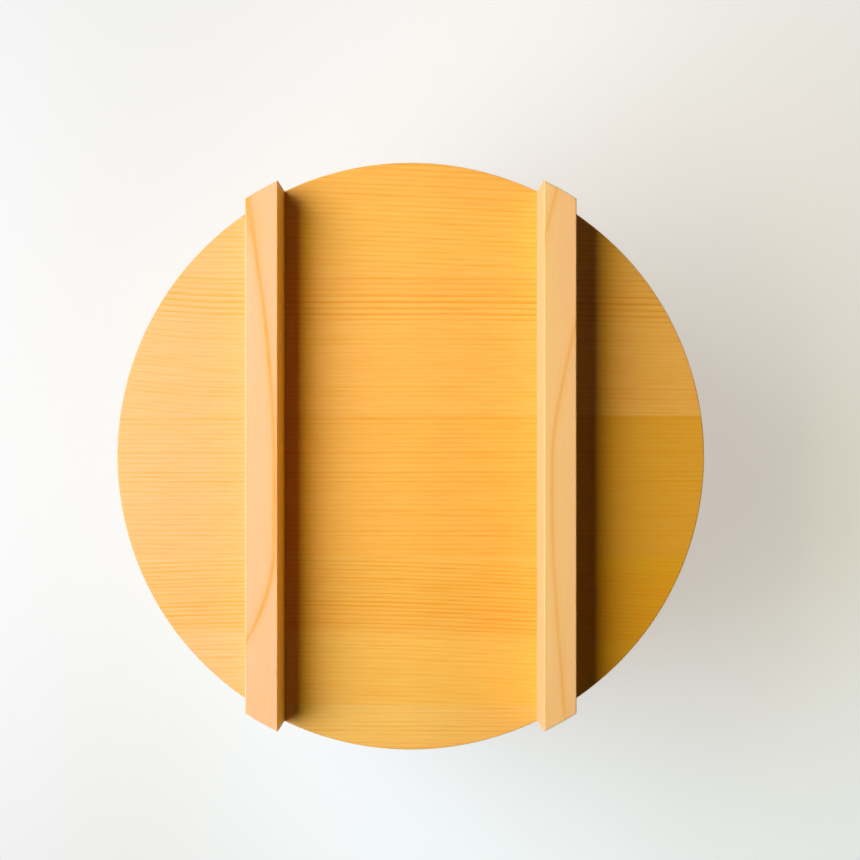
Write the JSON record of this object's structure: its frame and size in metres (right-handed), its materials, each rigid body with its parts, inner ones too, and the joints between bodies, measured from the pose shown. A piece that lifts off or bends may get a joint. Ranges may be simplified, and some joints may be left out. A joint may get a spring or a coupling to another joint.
{
  "type": "wooden rice container",
  "caption": "Round coopered wooden rice tub with copper hoops, a bottom set in a groove of the staves, and a flat lid that rests on the rim and carries raised battens.",
  "frame": {"origin": "centre of the foot, on the surface that the tub stands on", "axes": "+Z up; the lid's battens run along Y and its boards along X, so +X is to the right and +Y is up in the picture"},
  "size_m": [0.21, 0.21, 0.14],
  "materials": {
    "stave_wood": "planed, unfinished",
    "bottom_wood": "planed, unfinished",
    "lid_wood": "planed, unfinished, straight grain",
    "batten_wood": "planed, unfinished",
    "copper": "satin copper",
    "bamboo": "split bamboo"
  },
  "bodies": {
    "root": {"stave_01": "stave_wood", "stave_02": "stave_wood", "stave_03": "stave_wood", "stave_04": "stave_wood", "stave_05": "stave_wood", "stave_06": "stave_wood", "stave_07": "stave_wood", "stave_08": "stave_wood", "stave_09": "stave_wood", "stave_10": "stave_wood", "stave_11": "stave_wood", "stave_12": "stave_wood", "stave_13": "stave_wood", "stave_14": "stave_wood", "stave_pegs": "bamboo", "bottom_board_1": "bottom_wood", "bottom_board_2": "bottom_wood", "bottom_board_3": "bottom_wood", "bottom_pegs": "bamboo", "lower_hoop": "copper", "upper_hoop": "copper", "lid_board_1": "lid_wood", "lid_board_2": "lid_wood", "lid_board_3": "lid_wood", "lid_board_4": "lid_wood", "lid_board_5": "lid_wood", "lid_pegs": "bamboo", "batten_left": "batten_wood", "batten_right": "batten_wood"}
  },
  "joints": []
}
